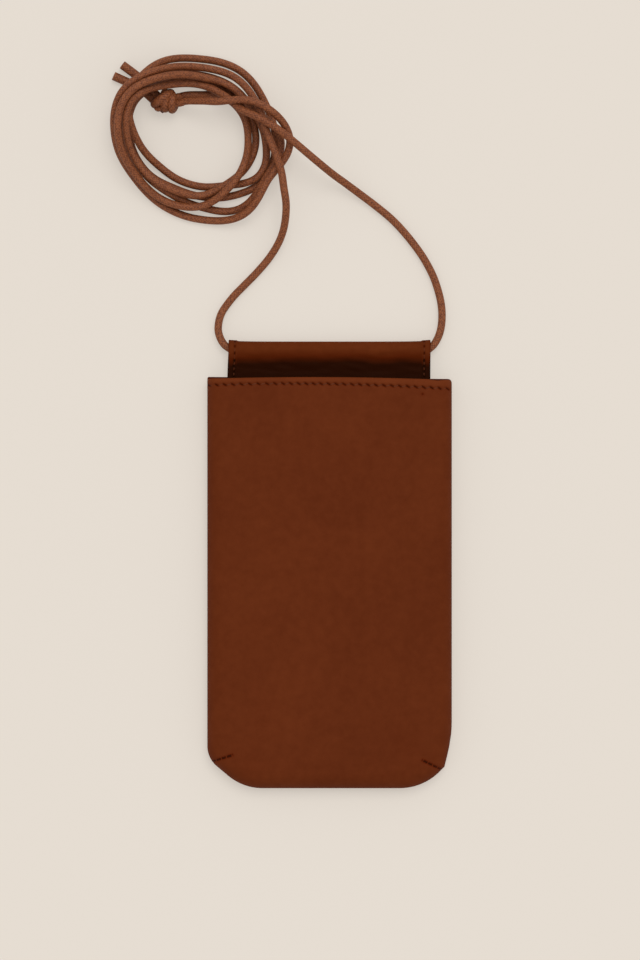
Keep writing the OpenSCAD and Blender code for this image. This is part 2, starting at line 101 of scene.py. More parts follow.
# Turns that cross keep a little room. A strand climbs no steeper than this, and
# bends no more than this from place to place, in millimetres. Where it leaves
# the coil, it lies this many layers up.
ROOM = 0.35
CLIMB = 0.4
BEND = 0.25
LEFT_LAYERS = 3.5
RIGHT_LAYERS = 3
# Places this close along a strand don't lie on each other, and the heights are
# worked out in this many rounds
NEIGHBOURS = 6
ROUNDS = 60

# The free stretches from the tab's ends to the coil, and the cord's two ends,
# which come out of the knot on the left
LEFT_LEAD = [
    (-44.2, 96.55, 3.45), (-45.4, 97.3, 3.45), (-47.3, 98.75, 3.4), (-49.1, 101.6, 3.2),
    (-50.1, 105.3, 2.9), (-49.8, 109.2, 2.5), (-48.7, 112.8, 2.2), (-46.4, 116.5, 1.9),
    (-42.8, 121, 1.7), (-38.4, 125.5, 1.7), (-33, 131, 1.7), (-27.4, 137.5, 2.4),
    (-23.2, 144, 4.6), (-20.8, 150, 7.6), (-19.7, 156, 10.6)]
RIGHT_LEAD = [
    (44.2, 96.4, 3.45), (45.3, 97.3, 3.45), (47, 98.9, 3.4), (48.7, 101.8, 3.2),
    (50, 105.6, 2.9), (50.6, 110.5, 2.5), (50.4, 116, 2), (49.2, 122, 1.7),
    (46.7, 129.5, 1.7), (42.8, 137, 1.7), (38.35, 143.5, 1.7), (32.8, 150.3, 1.7),
    (27.2, 156, 1.7), (20.2, 161.7, 1.9), (13.6, 166.6, 3.1), (7, 171.3, 6), (1.5, 175.1, 9)]
TAILS = [
    [(-74.6, 208.3, 2.6), (-77, 210.3, 1.9), (-80.2, 213.4, 1.9), (-83.4, 216.8, 1.9),
     (-86.9, 220, 1.9), (-93.3, 224.8, 2)],
    [(-74.2, 204.6, 2.6), (-76.4, 206.4, 1.9), (-79.3, 209.1, 1.9), (-82.6, 212.1, 1.9),
     (-86, 214.6, 1.9), (-89.7, 216.4, 1.9), (-97.2, 219.8, 2)]]
TAIL_THICK = 3.9


def between(a, b, c, d, share):
    """A smooth line's place between b and c, with a before them and d after."""
    return (2 * b + (c - a) * share + (2 * a - 5 * b + 4 * c - d) * share ** 2
            + (3 * b - a - 3 * c + d) * share ** 3) / 2


def smooth_line(points, step):
    """A smooth line through the points, in places a step apart."""
    p = [Vector(q) for q in points]
    parts = 12
    fine = [between(p[max(0, i - 1)], p[i], p[i + 1], p[min(len(p) - 1, i + 2)], s / parts)
            for i in range(len(p) - 1) for s in range(parts)] + [p[-1]]
    run = [0.0]
    for a, b in zip(fine, fine[1:]):
        run.append(run[-1] + (b - a).length)
    count = max(2, round(run[-1] / step))
    line, i = [], 0
    for k in range(count):
        far = run[-1] * k / count
        while run[i + 1] < far:
            i += 1
        line.append(fine[i].lerp(fine[i + 1], (far - run[i]) / (run[i + 1] - run[i])))
    return line + [fine[-1]]


def coil_place(strand, k):
    """Where a strand is in plan after k rows of its table, and its number there."""
    last = len(strand) - 1
    i = min(last - 1, int(k))
    rows = [strand[max(0, i - 1)], strand[i], strand[i + 1], strand[min(last, i + 2)]]
    reach = between(*[r[0] for r in rows], k - i)
    turn = math.radians(FIRST_TURN - TURN_STEP * k)
    x, y = COIL_AT + reach * Vector((math.cos(turn), math.sin(turn)))
    return x, y, rows[1][1] + (rows[2][1] - rows[1][1]) * (k - i)


def beside(p, a, b):
    """How far a place in plan is from a straight stretch, and where along it."""
    v, w = Vector(b[:2]) - Vector(a[:2]), Vector(p[:2]) - Vector(a[:2])
    share = max(0, min(1, w.dot(v) / v.length_squared))
    return (w - share * v).length, share


def settled_coil():
    """Both strands as they lie: each turn rests on the turns that it crosses, and
    comes down from them in a long low slope."""
    layer = CORD + ROOM
    left = [coil_place(LEFT_STRAND, q / PLACES) for q in range(LEFT_LAST * PLACES + 1)]
    right = [coil_place(RIGHT_STRAND, q / PLACES) for q in range(int(RIGHT_LAST * PLACES) + 1)]
    every = left + right
    split, last = len(left) - 1, len(every) - 1
    floor = CORD / 2

    def lies_on(i):
        found = []
        for j in range(last):
            if j == split or ((i <= split) == (j <= split) and abs(j - i) < NEIGHBOURS):
                continue
            a, b, p = every[j], every[j + 1], every[i]
            if abs(a[0] - p[0]) > 4 * layer or abs(a[1] - p[1]) > 4 * layer:
                continue
            away, share = beside(p, a, b)
            if away < layer and a[2] + (b[2] - a[2]) * share < p[2]:
                found.append((j, share, math.sqrt(layer ** 2 - away ** 2)))
        return found

    def over_tails(p):
        heights = [floor]
        for tail in TAILS:
            for a, b in zip(tail, tail[1:]):
                away = beside(p, a, b)[0]
                if away < layer:
                    heights.append(floor + math.sqrt(layer ** 2 - away ** 2))
        return max(heights)

    base = [over_tails(p) for p in every]
    ends = {split: LEFT_LAYERS * layer, last: RIGHT_LAYERS * layer}
    low = [max(base[max(0, i - 1)], base[i], base[min(last, i + 1)], ends.get(i, floor))
           for i in range(last + 1)]
    own = [lies_on(i) for i in range(last + 1)]
    under = [own[i] + (own[i - 1] if i not in (0, split + 1) else [])
             + (own[i + 1] if i not in (split, last) else []) for i in range(last + 1)]
    # The left strand's end doesn't hold the right strand's start
    far_off = 1e6
    run = [far_off if i == split else math.dist(every[i][:2], every[i + 1][:2])
           for i in range(last)]
    h = low[:]
    for _ in range(ROUNDS):
        risen = []
        for i in range(last + 1):
            need = [low[i]] + [h[j] * (1 - s) + h[j + 1] * s + up for j, s, up in under[i]]
            if i > 0:
                need.append(h[i - 1] - CLIMB * run[i - 1])
            if i < last:
                need.append(h[i + 1] - CLIMB * run[i])
            if i not in (0, split, split + 1, last):
                need.append((h[i - 1] + h[i + 1]) / 2 - BEND)
            risen.append(max(need))
        h = risen
    laid = [(x, y, z) for (x, y, _), z in zip(every, h)]
    return laid[:split + 1], laid[split + 1:]


def lay_cord(bm, line, thick=CORD):
    """Adds a round cord along a line of places in millimetres. Its UV map counts
    the turns of the braid along it, and goes once around it."""
    uv = bm.loops.layers.uv.verify()
    last = len(line) - 1
    new = bmesh.ops.create_grid(bm, x_segments=last, y_segments=CORD_SIDES, size=0.5,
                                calc_uvs=True)["verts"]
    way = [(line[min(last, i + 1)] - line[max(0, i - 1)]).normalized()
           for i in range(last + 1)]
    side = way[0].orthogonal()
    across, far = [], [0.0]
    for i, w in enumerate(way):
        side = (side - side.dot(w) * w).normalized()
        across.append(side)
        if i:
            far.append(far[-1] + (line[i] - line[i - 1]).length)
    for vert in new:
        i = round((vert.co.x + 0.5) * last)
        turn = 2 * math.pi * (vert.co.y + 0.5)
        out = across[i] * math.cos(turn) + way[i].cross(across[i]) * math.sin(turn)
        vert.co = (line[i] + thick / 2 * out) * MM
    for face in {f for v in new for f in v.link_faces}:
        for loop in face.loops:
            u, v = loop[uv].uv
            loop[uv].uv = far[round(u * last)] / BRAID_TURN, v
    bmesh.ops.remove_doubles(bm, verts=new, dist=0.001 * MM)
    bmesh.ops.holes_fill(bm, edges=[e for e in bm.edges if e.is_boundary], sides=0)


SHARP = 50


def finished(name, bm, material):
    """The finished mesh as a piece of that name and material, shaded smooth but
    for its sharp edges."""
    bmesh.ops.recalc_face_normals(bm, faces=bm.faces)
    mesh = bpy.data.meshes.new(name)
    bm.to_mesh(mesh)
    bm.free()
    mesh.materials.append(material)
    mesh.shade_smooth()
    mesh.set_sharp_from_angle(angle=math.radians(SHARP))
    made = bpy.data.objects.new(name, mesh)
    bpy.context.scene.collection.objects.link(made)
    return made


def linear(colour):
    """An sRGB hex colour as the linear values that a shader takes."""
    parts = [int(colour[i:i + 2], 16) / 255 for i in (1, 3, 5)]
    return [p / 12.92 if p <= 0.04045 else ((p + 0.055) / 1.055) ** 2.4
            for p in parts] + [1]


def add(tree, kind, takes=(), **settings):
    """Adds a node: takes gives its sockets a value or another node's output."""
    node = tree.nodes.new("ShaderNode" + kind)
    for name, value in settings.items():
        setattr(node, name, value)
    for socket, value in dict(takes).items():
        if isinstance(value, bpy.types.NodeSocket):
            tree.links.new(value, node.inputs[socket])
        else:
            node.inputs[socket].default_value = value
    return node


# Braided cotton, dyed reddish brown and waxed. The braid's diamonds, 1.3 mm
# across, are painted lighter on their raised middles and darker in the grooves
# between them, as painted shade, and stray flecks in the wax give it a fine
# light and dark speckle.
waxed_cotton = bpy.data.materials.new("waxed_cotton_braided_round")
waxed_cotton.use_nodes = True
tree = waxed_cotton.node_tree
shader = tree.nodes["Principled BSDF"]
place = add(tree, "TexCoord")
apart = add(tree, "SeparateXYZ", {0: place.outputs["UV"]})
waves = []
for way in (-1, 1):
    around = add(tree, "Math", {0: apart.outputs["X"], 1: way}, operation="MULTIPLY")
    both = add(tree, "Math", {0: around.outputs[0], 1: apart.outputs["Y"]}, operation="ADD")
    phase = add(tree, "Math", {0: both.outputs[0], 1: BRAID_STRANDS * math.pi},
                operation="MULTIPLY")
    wave = add(tree, "Math", {0: phase.outputs[0]}, operation="SINE")
    waves.append(add(tree, "Math", {0: wave.outputs[0]}, operation="ABSOLUTE"))
diamonds = add(tree, "Math", {0: waves[0].outputs[0], 1: waves[1].outputs[0]},
               operation="MULTIPLY")
flecks = add(tree, "TexNoise", {"Vector": place.outputs["Object"], "Scale": 1 / (0.8 * MM),
                                "Detail": 1, "Roughness": 0.6})
speckle = add(tree, "MapRange", {"Value": flecks.outputs["Fac"], "From Min": 0.38,
                                 "From Max": 0.64})
# Painted shade from the braid's diamonds, with the wax's flecks added
shade_and_flecks = add(tree, "Math", {0: diamonds.outputs[0], 1: speckle.outputs[0]}, operation="ADD")
share = add(tree, "MapRange", {"Value": shade_and_flecks.outputs[0], "From Min": 0.15, "From Max": 1.5})
base_tone = add(tree, "Mix", {0: share.outputs[0], 6: linear("#5B2A12"), 7: linear("#92542F")},
          data_type="RGBA")
relief = add(tree, "Bump", {"Height": diamonds.outputs[0], "Strength": 0.7,
                            "Distance": 0.12 * MM})
tree.links.new(base_tone.outputs[2], shader.inputs["Base Color"])
tree.links.new(relief.outputs[0], shader.inputs["Normal"])
shader.inputs["Roughness"].default_value = 0.55
shader.inputs["Specular IOR Level"].default_value = 0.28

# Each free strand is one unbroken tube, from the tab's end round the coil and
# into the knot
KNOT_AT = Vector((-72.5, 208, 5.4))
left_laid, right_laid = settled_coil()
cords = {}
for side, lead, laid in ((-1, LEFT_LEAD, left_laid), (1, RIGHT_LEAD, right_laid)):
    leaving = Vector(laid[-1]) - Vector(laid[-2])
    leaving.z = 0
    joining = Vector(laid[-1]) + 2 * CORD * leaving.normalized()
    line = smooth_line(lead + [joining] + laid[::-1] + [KNOT_AT], RING_STEP)
    bm = bmesh.new()
    lay_cord(bm, line)
    name = "cord_left" if side < 0 else "cord_right"
    cords[name] = (finished(name, bm, waxed_cotton), line)

# The stretch in the tab: the same cord, pressed a little backwards by the two
# hemmed ends of the tab, and free to slide through them.
INSIDE_STEP = 1
bm = bmesh.new()
lay_cord(bm, smooth_line([LEFT_LEAD[0], (-42.6, 95.9, 3.45), (-38, 95.7, 3.45), (-20, 96.8, 3.45),
                          (20, 96.8, 3.45), (38, 95.7, 3.45), (42.6, 95.75, 3.45),
                          RIGHT_LEAD[0]], INSIDE_STEP))
cord_inside = finished("cord_in_fold", bm, waxed_cotton)
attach(cord_inside, "tab")
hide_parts("cord_in_tab")

# The knot: both ends are wrapped together round the cord and pulled tight. The
# wraps lie pressed side by side, and one leads over them on the left.
KNOT_TURN = -14
KNOT_CORE = (5.2, 4.2, 4.2)
WRAP_THICK = 3.9
WRAP_PARTS = 36
WRAP_STEP = 0.8


def wrap(centre, turn, reach, start, end, spread):
    """A cord's way round the knot: turns about a level axis that is itself turned
    in plan, all in degrees, with a spread for each turn and a reach that goes
    from its first to its last value."""
    lean = Matrix.Rotation(math.radians(turn), 3, "Z")
    line = []
    for i in range(WRAP_PARTS + 1):
        share = i / WRAP_PARTS
        a = math.radians(start + (end - start) * share)
        out = reach[0] + (reach[1] - reach[0]) * share
        along = spread * (share - 0.5) * (end - start) / 360
        line.append(centre + lean @ Vector((along, out * math.cos(a), out * math.sin(a))))
    return smooth_line(line, WRAP_STEP)


bm = bmesh.new()
lay_cord(bm, wrap(KNOT_AT + Vector((0.2, 0, 0.2)), KNOT_TURN, (3.7, 2.9), -200, 760, 3.1),
         thick=WRAP_THICK)
lay_cord(bm, wrap(KNOT_AT + Vector((-2.5, 1.3, 0.2)), KNOT_TURN - 34, (4.3, 4.3), -20, 200, -2.4),
         thick=WRAP_THICK)
core = (Matrix.Translation(KNOT_AT * MM) @ Matrix.Rotation(math.radians(KNOT_TURN), 4, "Z")
        @ Matrix.Diagonal((*KNOT_CORE, 1 / MM)) * MM)
bmesh.ops.create_uvsphere(bm, u_segments=20, v_segments=12, radius=1, matrix=core)
knot = finished("knot", bm, waxed_cotton)
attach(knot, "pouch")
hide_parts("cord_knot")

# The cord's two ends: they come out of the knot side by side, cut square, and
# the cut has let them swell a little.
bm = bmesh.new()
for tail in TAILS:
    lay_cord(bm, smooth_line(tail, RING_STEP), thick=TAIL_THICK)
tails = finished("cord_ends", bm, waxed_cotton)
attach(tails, "pouch")
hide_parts("cord_tails")

# The two free strands take the place of the CAD's leads and coils, with their
# places baked into their meshes
for name, side, length in (("cord_left", -1, 0.407), ("cord_right", 1, 1.15)):
    cord, line = cords[name]
    end = "left" if side < 0 else "right"
    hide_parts("cord_lead_" + end, "cord_coil_" + end)
    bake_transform(cord)


# The back: one flat panel of calf leather, 1.2 mm thick, whose edge is turned
# inwards along the seam, so that it is two layers thick there.
POUCH_WIDE = 110
BOTTOM = -100.75
MOUTH = 83.65
LEATHER = 1.2
TURNED = 5
SEAM_Z = 2 * LEATHER
STITCH_PITCH = 3.57
TAB_HALF = 45.35
TAB_SEAM = 76.75

# Each bottom corner is a slanting cut with a round at both its ends: where the
# lower round starts from the middle, how the cut leans, both rounds' radii, and
# how far the dart draws in the side above the corner
CORNERS = {-1: (30.2, 40, 24, 11.8, 0), 1: (31.5, 45, 25.4, 0.8, 3.15)}
CORNER_RISE = 19.2
CORNER_Y = BOTTOM + CORNER_RISE
# The side is drawn in from this height down, over this length
DRAWN_FROM, DRAWN_LONG, DRAWN_CURVE = -73, 17.4, 1.5


def corner(inset, side):
    """A corner's outline, drawn in by an inset: the centre and the radius of the
    lower round, the start of the cut, its lean, and the same of the upper round."""
    start, lean, low_round, side_round, drawn = CORNERS[side]
    lean = math.radians(lean)
    low, high = low_round - inset, max(0, side_round - inset)
    cut_x, cut_up = start + low * math.sin(lean), low_round - low * math.cos(lean)
    high_x = POUCH_WIDE / 2 - drawn - inset - high
    high_up = cut_up + (high + (high_x - cut_x) * math.sin(lean)) / math.cos(lean)
    return (start, low_round, low), (cut_x, cut_up, lean), (high_x, high_up, high)


def half_wide(y, inset, side):
    """Half the width of the outline at a height, drawn in by an inset."""
    (low_x, low_up, low), (cut_x, cut_up, lean), (high_x, high_up, high) = corner(inset, side)
    up = y - BOTTOM
    if up < cut_up:
        return low_x + math.sqrt(max(0, low ** 2 - (low_up - up) ** 2))
    if up < high_up - high * math.cos(lean):
        return cut_x + (up - cut_up) / math.tan(lean)
    if up < high_up:
        return high_x + math.sqrt(high ** 2 - (high_up - up) ** 2)
    drawn = max(0, min(1, (DRAWN_FROM - y) / DRAWN_LONG)) ** DRAWN_CURVE
    return POUCH_WIDE / 2 - inset - CORNERS[side][4] * drawn


def low_edge(x, inset, side):
    """The outline's bottom edge below a place."""
    (low_x, low_up, low), (cut_x, cut_up, lean), (high_x, high_up, high) = corner(inset, side)
    out = abs(x)
    if out <= low_x:
        return BOTTOM + inset
    if out <= cut_x:
        return BOTTOM + low_up - math.sqrt(low ** 2 - (out - low_x) ** 2)
    if out <= high_x + high * math.sin(lean):
        return BOTTOM + cut_up + (out - cut_x) * math.tan(lean)
    if out < high_x + high:
        return BOTTOM + high_up - math.sqrt(high ** 2 - (out - high_x) ** 2)
    drawn = (POUCH_WIDE / 2 - inset - out) / (CORNERS[side][4] or 1)
    along = max(0, min(1, drawn)) ** (1 / DRAWN_CURVE)
    return max(BOTTOM + high_up, DRAWN_FROM - DRAWN_LONG * along)


def panel_outline(inset, top):
    """The outline of a panel from the right end of the mouth round to the left."""
    sides, rounds = 4, 30
    ys = [top] + [DRAWN_FROM + (CORNER_Y - DRAWN_FROM) * i / sides for i in range(sides + 1)]
    ys += [BOTTOM + inset + (CORNER_RISE - inset) * (1 - math.sin(math.radians(90 * i / rounds)))
           for i in range(1, rounds + 1)]
    right, left = ([(side * half_wide(y, inset, side), y) for y in ys] for side in (1, -1))
    return right + left[::-1]


def cut_leather(bm, outline, low, high, soft):
    """A flat piece of leather of that outline, with softened edges."""
    verts = [bm.verts.new((x * MM, y * MM, low * MM)) for x, y in outline]
    flat = bm.faces.new(verts)
    up = bmesh.ops.extrude_face_region(bm, geom=[flat])["geom"]
    raised = [v for v in up if isinstance(v, bmesh.types.BMVert)]
    bmesh.ops.translate(bm, verts=raised, vec=(0, 0, (high - low) * MM))
    edges = {e for v in raised for e in v.link_edges} | {e for v in verts for e in v.link_edges}
    rim = [e for e in edges if abs(e.verts[0].co.z - e.verts[1].co.z) < 0.01 * MM
           and len(e.link_faces) == 2]
    bmesh.ops.bevel(bm, geom=rim, offset=soft * MM, affect="EDGES", segments=3,
                    profile=0.5, material=-1, clamp_overlap=True)


def calf_leather(name, light, deep, half_shade, painted_shade, painted_highlight):
    """Calf leather, dyed through, rolled smooth and left matt. Its dye is a little
    uneven, in soft clouds 30 mm across and finer mottling. Where its attribute of
    painted shade is above 0, shade is painted in, through a redder tone, in holes,
    creases and along edges. Where it is below 0, a painted highlight makes it
    paler. Its pores are drawn 0.9 mm apart, coarser than they are, to show at all."""
    calf = bpy.data.materials.new(name)
    calf.use_nodes = True
    tree = calf.node_tree
    shader = tree.nodes["Principled BSDF"]
    place = add(tree, "TexCoord")
    clouds = add(tree, "TexNoise", {"Vector": place.outputs["Object"], "Scale": 1 / (30 * MM),
                                    "Detail": 3, "Roughness": 0.55})
    mottle = add(tree, "TexNoise", {"Vector": place.outputs["Object"], "Scale": 1 / (4 * MM),
                                    "Detail": 4, "Roughness": 0.6})
    uneven = add(tree, "Math", {0: clouds.outputs["Fac"], 1: mottle.outputs["Fac"]},
                 operation="ADD")
    share = add(tree, "MapRange", {"Value": uneven.outputs[0], "From Min": 0.7,
                                   "From Max": 1.3})
    base_tone = add(tree, "Mix", {0: share.outputs[0], 6: linear(light), 7: linear(deep)},
              data_type="RGBA")
    # The attribute paints shade in above 0, through a redder tone, and a painted highlight below 0
    shade_amount = add(tree, "Attribute", attribute_name="painted_shade")
    highlight_amount = add(tree, "Math", {0: shade_amount.outputs["Fac"], 1: -1}, operation="MULTIPLY", use_clamp=True)
    highlighted = add(tree, "Mix", {0: highlight_amount.outputs[0], 6: base_tone.outputs[2], 7: linear(painted_highlight)},
                data_type="RGBA")
    first = add(tree, "Math", {0: shade_amount.outputs["Fac"], 1: 2}, operation="MULTIPLY", use_clamp=True)
    redder = add(tree, "Mix", {0: first.outputs[0], 6: highlighted.outputs[2], 7: linear(half_shade)},
                 data_type="RGBA")
    then = add(tree, "Math", {0: shade_amount.outputs["Fac"], 1: 2, 2: -1}, operation="MULTIPLY_ADD",
               use_clamp=True)
    shaded = add(tree, "Mix", {0: then.outputs[0], 6: redder.outputs[2], 7: linear(painted_shade)},
                data_type="RGBA")
    pores = add(tree, "TexVoronoi", {"Vector": place.outputs["Object"], "Scale": 1 / (0.9 * MM)},
                feature="DISTANCE_TO_EDGE")
    grain = add(tree, "Bump", {"Height": pores.outputs["Distance"], "Strength": 0.25,
                               "Distance": 0.05 * MM})
    gloss = add(tree, "MapRange", {"Value": mottle.outputs["Fac"], "To Min": 0.6,
                                   "To Max": 0.75})
    tree.links.new(shaded.outputs[2], shader.inputs["Base Color"])
    tree.links.new(grain.outputs[0], shader.inputs["Normal"])
    tree.links.new(gloss.outputs[0], shader.inputs["Roughness"])
    shader.inputs["Specular IOR Level"].default_value = 0.04
    return calf


# Its two darker colours are painted shade, and the paler one is a painted highlight
panel_calf = calf_leather("calf_leather_dyed_smooth", light="#652C11", deep="#5C260D",
                          half_shade="#5A1E03", painted_shade="#300C00", painted_highlight="#86421F")


# The back's edge at the middle of the mouth, and how far it falls to the right.
# Its row of stitches lies in a groove, in holes that are a little longer than
# they are wide.
BACK_TOP = 83.85
BACK_FALL = 0.47
GROOVE_DEEP, GROOVE_WIDE = 0.18, 0.6
HOLE_DEEP, HOLE_LONG, HOLE_WIDE = 0.4, 0.55, 0.45


def round_corner(x):
    """How far the mouth's edge drops where its corner is rounded: 1.7 mm on the
    right, and less on the left."""
    wide = 1.7 if x > 0 else 0.7
    share = max(0, min(1, (abs(x) - POUCH_WIDE / 2 + wide) / wide))
    return wide * (1 - math.sqrt(1 - share * share))


def back_top(x):
    """The back's edge at the mouth, which shows past the front's lip."""
    return BACK_TOP - BACK_FALL * x / (POUCH_WIDE / 2) - round_corner(x)


def from_edge(x, y, inset):
    """How far a place is from the outline."""
    side = -1 if x < 0 else 1
    dx = half_wide(y, inset, side) - abs(x)
    dy = y - low_edge(x, inset, side)
    return dx * dy / math.hypot(dx, dy) if dx > 0 and dy > 0 else 0


def back_low(x, y):
    """The underside of the back: flat, with a round edge and a soft groove with the
    holes of the row that holds the tab, and the shade painted along that edge and
    in its holes."""
    away = max(0, min(from_edge(x, y, 0), back_top(x) - y))
    rise = LEATHER * (1 - math.sqrt(1 - (1 - min(1, away / LEATHER)) ** 2))
    # Painted shade along the rounded edge
    dark = 0.6 * max(0, 1 - away / 2.5) ** 2
    if abs(y - TAB_SEAM) < 2 and abs(x) < TAB_HALF:
        i = x / STITCH_PITCH
        hole = (i - round(i)) * STITCH_PITCH
        pit = math.exp(-(hole / HOLE_LONG) ** 2 - ((y - TAB_SEAM) / HOLE_WIDE) ** 2)
        rise += GROOVE_DEEP * math.exp(-((y - TAB_SEAM) / GROOVE_WIDE) ** 2) + HOLE_DEEP * pit
        # and painted shade in each hole
        dark = min(1, dark + 0.9 * pit)
    return rise, dark


# The back's grid: its rows crowd together round the corners and in the last
# 10 mm below the mouth, and its columns crowd together at the sides
BACK_GRID = 200
LOW_SHARE = 0.2
TOP_SHARE = 0.3
TOP_LONG = 10
CROWD = 1.6


def back_row(along):
    """How high on the pouch a row of the back's grid is."""
    if along < LOW_SHARE:
        return BOTTOM + CORNER_RISE * (1 - math.cos(math.radians(90 / LOW_SHARE * along)))
    if along < 1 - TOP_SHARE:
        share = (along - LOW_SHARE) / (1 - LOW_SHARE - TOP_SHARE)
        return CORNER_Y + (MOUTH - TOP_LONG - CORNER_Y) * share
    return MOUTH - TOP_LONG * (max(0, 1 - along) / TOP_SHARE) ** CROWD


bm = bmesh.new()
painted_shade = bm.verts.layers.float.new("painted_shade")
new = bmesh.ops.create_grid(bm, x_segments=BACK_GRID, y_segments=BACK_GRID, size=0.5)["verts"]
for vert in new:
    side, along = 2 * vert.co.x, vert.co.y + 0.5
    y = back_row(along)
    out = 1 - max(0, 1 - abs(side)) ** CROWD
    x = math.copysign(half_wide(y, 0, -1 if side < 0 else 1) * out, side)
    y += (back_top(x) - MOUTH) * max(0, along - 1 + TOP_SHARE) / TOP_SHARE
    rise, vert[painted_shade] = back_low(x, y)
    vert.co = Vector((x, y, rise)) * MM
bmesh.ops.holes_fill(bm, edges=[e for e in bm.edges if e.is_boundary], sides=0)

# Its turned edge is a second layer inside, up to just below the mouth
TURNED_TOP = MOUTH - 2.5
ring = panel_outline(0.05, TURNED_TOP) + panel_outline(LEATHER + TURNED, TURNED_TOP)[::-1]
cut_leather(bm, ring, LEATHER - 0.1, SEAM_Z, 0.5)
back = finished("back_leather", bm, panel_calf)
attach(back, "pouch")
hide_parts("back_panel")


# The front: one panel of the same leather, moulded by the phone inside. It
# rolls down to the seam on three sides, is drawn in by a dart at each bottom
# corner, and its mouth is folded inwards into a hem and sewn.
DEPTH = 13
HEM = 8
HEM_STITCHES = 30
SLIT_LEAN = math.radians(30)
SLIT_DEEP, SLIT_LONG, SLIT_WIDE = 0.6, 1.15, 0.42
SIDE_ROLL = 9
ROLL_FULL = 2.3
CROWN = 0.08
HEM_STEP = 0.8
COLUMNS = 170
SIDE_CROWD = 1.3
# The lip's edge and the hem's row at the middle of the mouth, and half the lip
LIP_TOP = 84.15
HEM_TOP = 80.95
LIP_HALF = 54
# The edge curls in at the seam: how far in and how high, from the roll inwards
EDGE_IN = [0, 0.12, 0.35, 0.65]
EDGE_UP = [0.65, 0.3, 0.1, 0]
# Each dart's end at the outline, how it rises in degrees, and its length
DARTS = {-1: (-53.3, -88.7, 19, 10), 1: (50.5, -92.2, 27, 9.7)}
DART_STITCHES = 4
DART_DEEP, DART_WIDE = 0.75, 0.9
# Three soft dents and a nick below the hem: place, reach, depth and darkness
DENTS = [(-30.3, -69.4, 7, 0.15, 0.04), (-35.7, -90, 6, 0.25, 0.05), (34.3, -81.5, 8, 0.2, 0.06),
         (41.7, 76.4, 0.6, 0.3, 0.9)]


def ease(share):
    """A smooth step from 0 to 1."""
    share = max(0, min(1, share))
    return share * share * (3 - 2 * share)


def lip(x):
    """The edge of the mouth: a shallow bow, a little lower on the right, where it
    sinks beside the tab."""
    share = x / LIP_HALF
    return (LIP_TOP - 0.35 * share - 1.15 * share ** 2 - 0.6 * math.exp(-((x - 48.3) / 2.6) ** 2)
            - round_corner(x))


def hem_row(x):
    """The line of the hem's stitches."""
    share = x / LIP_HALF
    return HEM_TOP - 0.86 * share - 1.42 * share ** 2


def hole_at(i):
    """Where a hole of the hem is, counted from the middle. The row starts 0.6 mm to
    the left, and between the holes -13 and 2 the machine's feed wandered."""
    return STITCH_PITCH * i - 0.6 + 1.2 * (ease((i + 13) / 6) - ease((i + 6) / 8))


def dart_place(x, y):
    """How far along a dart a place is, and how far beside it."""
    start_x, start_y, turn, long = DARTS[-1 if x < 0 else 1]
    side = -1 if x < 0 else 1
    way = Vector((-side * math.cos(math.radians(turn)), math.sin(math.radians(turn))))
    to = Vector((x - start_x, y - start_y))
    along = to.dot(way)
    held = max(-2, min(long, along))
    return along / long, (to - held * way).length


def front_height(x, y, inset):
    """The front's height: a roll up from the seam, and a soft crown."""
    low = SEAM_Z + (EDGE_UP[0] if inset == 0 else 0)
    away = min(1, from_edge(x, y, inset) / (SIDE_ROLL - inset))
    along = (y - BOTTOM) / (MOUTH - BOTTOM)
    crown = CROWN * (1 - (2 * x / POUCH_WIDE) ** 2) * 4 * along * (1 - along)
    drop = max(0, along) ** 3
    rise = (DEPTH - low - inset) * (1 - CROWN + crown) - drop * away
    return low + rise * (1 - (1 - away) ** ROLL_FULL) ** (1 / ROLL_FULL)


def front_dips(x, y):
    """How far stitch holes, darts and soft dents draw the surface in, and how dark
    the leather is drawn there: painted shade in the slits and along the darts, the
    dents' own darkening, and a painted highlight, below 0, on the strip between
    the hem's row and the lip."""
    away = y - hem_row(x)
    # The strip between the hem's row and the lip gets a painted highlight
    dip, dark = 0.0, -0.18 * ease((away - 0.4) / 1.4)
    if abs(away) < 2.2:
        i = round(x / STITCH_PITCH)
        for hole in (i - 1, i, i + 1):
            dx = x - hole_at(hole)
            along = dx * math.cos(SLIT_LEAN) - away * math.sin(SLIT_LEAN)
            across = dx * math.sin(SLIT_LEAN) + away * math.cos(SLIT_LEAN)
            near = math.exp(-(along / SLIT_LONG) ** 4 - (across / SLIT_WIDE) ** 2)
            if abs(hole) <= HEM_STITCHES / 2:
                # Each slit is darkened with painted shade
                dip += SLIT_DEEP * near
                dark += 1.1 * near
        dip += 0.15 * math.exp(-(away / 1.1) ** 2)
    if y < -75:
        share, beside_it = dart_place(x, y)
        if beside_it < 4:
            fade = max(0, min(1, 1.15 - share))
            dip += DART_DEEP * math.exp(-(beside_it / DART_WIDE) ** 2) * fade
            # Painted shade along the dart's crease, darkest where its stitches sink
            stitch = share * DART_STITCHES
            bare = abs(stitch - round(stitch)) < 0.09
            dark += (0.4 if bare else 1.5) * math.exp(-(beside_it / (0.42 + 0.25 * share)) ** 2)
    # Each dent is also drawn darker, by its own listed amount
    for at_x, at_y, wide, deep, dent_dark in DENTS:
        far = math.hypot(x - at_x, y - at_y) / wide
        if far < 3:
            dip += deep * math.exp(-far * far)
            dark += dent_dark * math.exp(-far * far)
    return dip, dark


# The rows of the front: 60 round the corners, 30 up to the hem, 24 in the hem,
# and 5 steps round the fold of the lip
HEM_ROWS_FROM = 75.5
front_ys = [BOTTOM + CORNER_RISE * (1 - math.cos(math.radians(90 * i / 60))) for i in range(61)]
front_ys += [CORNER_Y + (HEM_ROWS_FROM - CORNER_Y) * i / 30 for i in range(1, 31)]
front_ys += [HEM_ROWS_FROM + (MOUTH - LEATHER - HEM_ROWS_FROM) * i / 24 for i in range(1, 25)]
LIP_TURN = [90 * i / 5 for i in range(6)]


